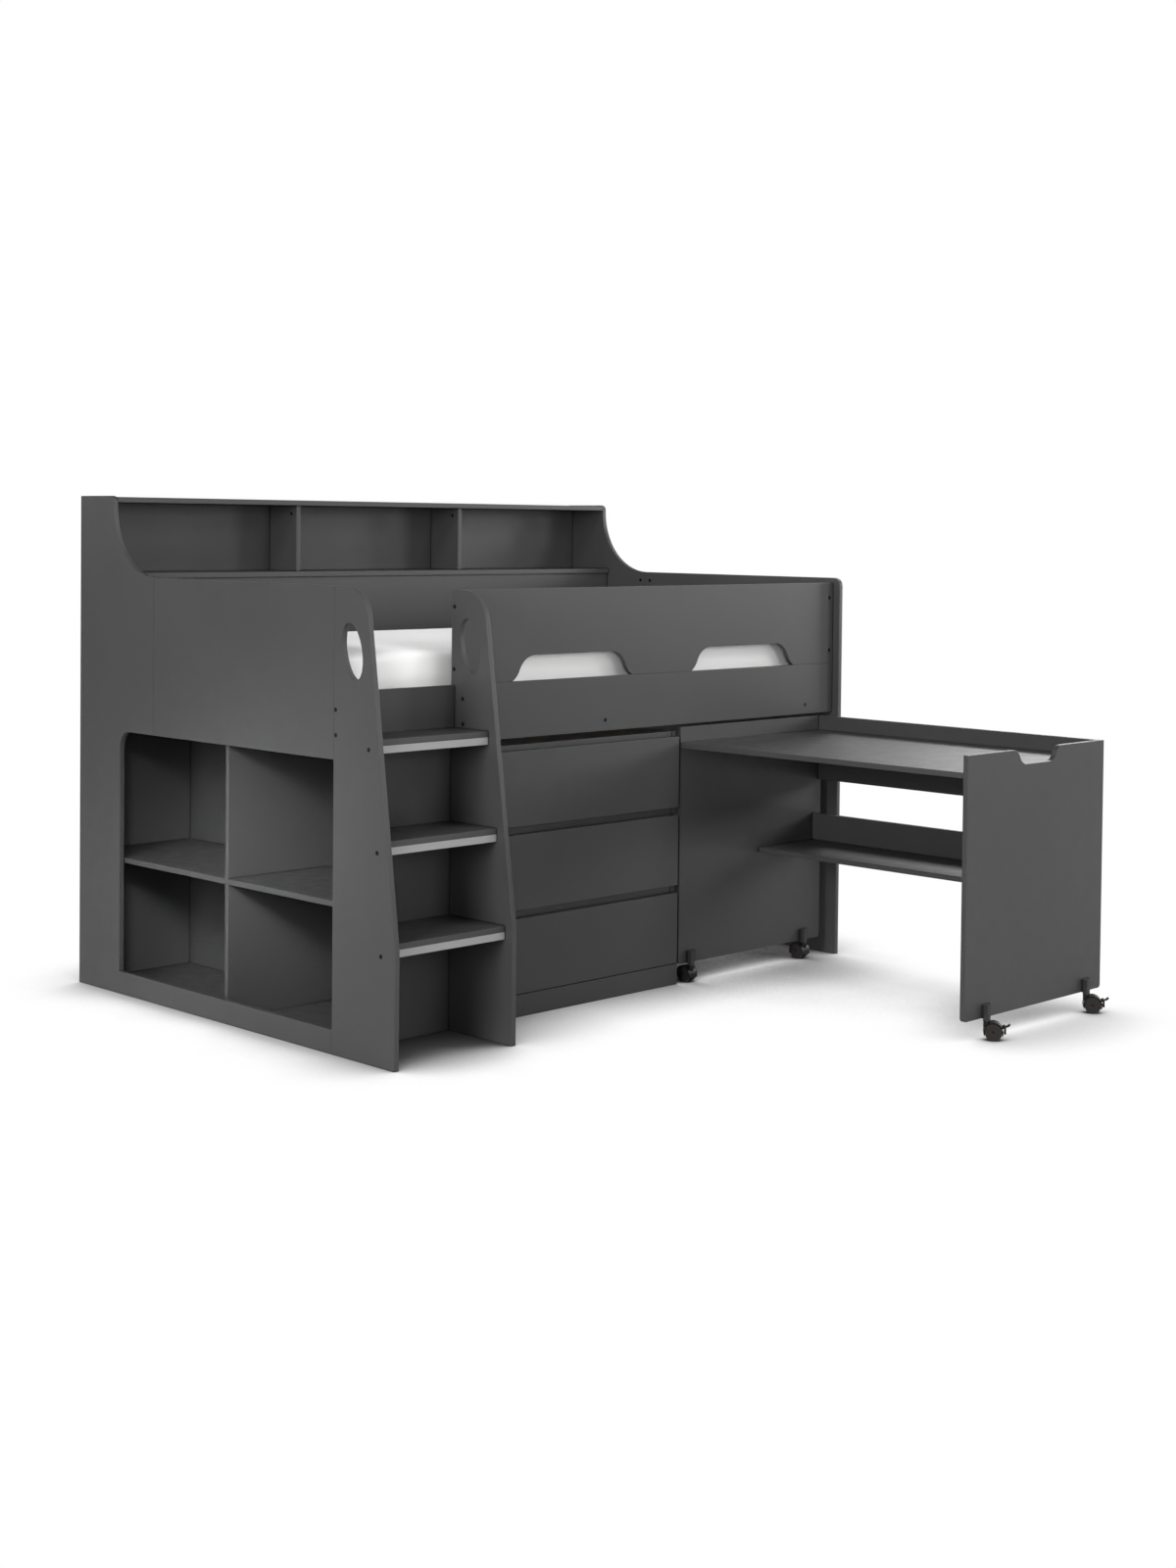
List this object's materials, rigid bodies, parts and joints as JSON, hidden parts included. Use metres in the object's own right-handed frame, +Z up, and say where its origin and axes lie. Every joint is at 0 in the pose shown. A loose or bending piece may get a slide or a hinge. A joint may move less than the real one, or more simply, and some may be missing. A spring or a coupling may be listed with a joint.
{
  "type": "mid sleeper bed",
  "caption": "Mid sleeper bed with ladder, guard rail, bookcase and cubbies, drawers that slide out, and a desk that rolls out on braked casters.",
  "frame": {"origin": "on the floor, below the middle of the whole with the desk pulled out", "axes": "+X along the bed from the ladder to the desk, +Y from the desk to the back of the bed, +Z up"},
  "size_m": [1.95, 2.2224, 1.385],
  "materials": {
    "board": "matte anthracite lacquer on board",
    "batten": "light grey foil",
    "slat": "plain pale timber",
    "mattress": "white woven cover",
    "runner": "zinc-plated",
    "drawer_box": "matte grey foil",
    "caster_hood": "black moulded",
    "caster_wheel": "black moulded",
    "brake": "black moulded",
    "bracket": "black powder coat"
  },
  "bodies": {
    "bed_frame": {"left_end_panel": "board", "left_infill_panel": "board", "right_rear_panel": "board", "right_front_panel": "board", "left_ladder_stile": "board", "right_ladder_stile": "board", "ladder_treads": "board", "tread_battens": "batten", "ladder_rail": "board", "ladder_back_panel": "board", "front_rail": "board", "front_guard": "board", "bookcase_top": "board", "bookcase_shelf": "board", "bookcase_back": "board", "bookcase_dividers": "board", "rear_bed_panel": "board", "rear_brace": "board", "cubby_rear_side": "board", "cubby_base": "board", "cubby_shelf": "board", "cubby_top": "board", "cubby_dividers": "board", "cubby_back_rail": "board", "cubby_back": "board", "slat_rails": "slat", "slats": "slat", "mattress": "mattress", "chest_sides": "board", "chest_rails": "board", "chest_decks": "board", "chest_plinth": "board", "chest_back": "drawer_box", "chest_runners": "runner"},
    "desk": {"desk_top": "board", "desk_outer_panel": "board", "desk_inner_panel": "board", "desk_back_panel": "board", "desk_shelf": "board", "desk_shelf_rail": "board", "caster_brackets": "bracket"},
    "drawer_1": {"drawer_1_front": "board", "drawer_1_box": "drawer_box", "drawer_1_runners": "runner"},
    "drawer_2": {"drawer_2_front": "board", "drawer_2_box": "drawer_box", "drawer_2_runners": "runner"},
    "drawer_3": {"drawer_3_front": "board", "drawer_3_box": "drawer_box", "drawer_3_runners": "runner"},
    "outer_left_caster": {"outer_left_caster_hood": "caster_hood"},
    "outer_left_wheels": {"outer_left_caster_wheels": "caster_wheel"},
    "outer_left_brake": {"outer_left_brake_lever": "brake"},
    "outer_right_caster": {"outer_right_caster_hood": "caster_hood"},
    "outer_right_wheels": {"outer_right_caster_wheels": "caster_wheel"},
    "outer_right_brake": {"outer_right_brake_lever": "brake"},
    "inner_left_caster": {"inner_left_caster_hood": "caster_hood"},
    "inner_left_wheels": {"inner_left_caster_wheels": "caster_wheel"},
    "inner_right_caster": {"inner_right_caster_hood": "caster_hood"},
    "inner_right_wheels": {"inner_right_caster_wheels": "caster_wheel"}
  },
  "joints": [
    {"name": "desk_roll", "type": "slide", "parent": "bed_frame", "child": "desk", "axis": [0, 1, 0], "range_m": [0, 0.985]},
    {"name": "drawer_1_slide", "type": "slide", "parent": "bed_frame", "child": "drawer_1", "axis": [0, -1, 0], "range_m": [0, 0.33]},
    {"name": "drawer_2_slide", "type": "slide", "parent": "bed_frame", "child": "drawer_2", "axis": [0, -1, 0], "range_m": [0, 0.33]},
    {"name": "drawer_3_slide", "type": "slide", "parent": "bed_frame", "child": "drawer_3", "axis": [0, -1, 0], "range_m": [0, 0.33]},
    {"name": "outer_left_swivel", "type": "hinge", "parent": "desk", "child": "outer_left_caster", "pos_m": [0.363, -1.05784, 0.055], "axis": [0, 0, 1], "continuous": true},
    {"name": "outer_left_spin", "type": "hinge", "parent": "outer_left_caster", "child": "outer_left_wheels", "pos_m": [0.37323, -1.07141, 0.0225], "axis": [0.7986, 0.6018, 0], "continuous": true},
    {"name": "outer_left_brake_press", "type": "hinge", "parent": "outer_left_caster", "child": "outer_left_brake", "pos_m": [0.38973, -1.0933, 0.03587], "axis": [0.7986, 0.6018, 0], "range_deg": [0, 14]},
    {"name": "outer_right_swivel", "type": "hinge", "parent": "desk", "child": "outer_right_caster", "pos_m": [0.833, -1.05784, 0.055], "axis": [0, 0, 1], "continuous": true},
    {"name": "outer_right_spin", "type": "hinge", "parent": "outer_right_caster", "child": "outer_right_wheels", "pos_m": [0.84323, -1.07141, 0.0225], "axis": [0.7986, 0.6018, 0], "continuous": true},
    {"name": "outer_right_brake_press", "type": "hinge", "parent": "outer_right_caster", "child": "outer_right_brake", "pos_m": [0.85973, -1.0933, 0.03587], "axis": [0.7986, 0.6018, 0], "range_deg": [0, 14]},
    {"name": "inner_left_swivel", "type": "hinge", "parent": "desk", "child": "inner_left_caster", "pos_m": [0.322, -0.06384, 0.055], "axis": [0, 0, 1], "continuous": true},
    {"name": "inner_left_spin", "type": "hinge", "parent": "inner_left_caster", "child": "inner_left_wheels", "pos_m": [0.322, -0.04684, 0.0225], "axis": [-1, 0, 0], "continuous": true},
    {"name": "inner_right_swivel", "type": "hinge", "parent": "desk", "child": "inner_right_caster", "pos_m": [0.833, -0.06384, 0.055], "axis": [0, 0, 1], "continuous": true},
    {"name": "inner_right_spin", "type": "hinge", "parent": "inner_right_caster", "child": "inner_right_wheels", "pos_m": [0.833, -0.04684, 0.0225], "axis": [-1, 0, 0], "continuous": true}
  ]
}
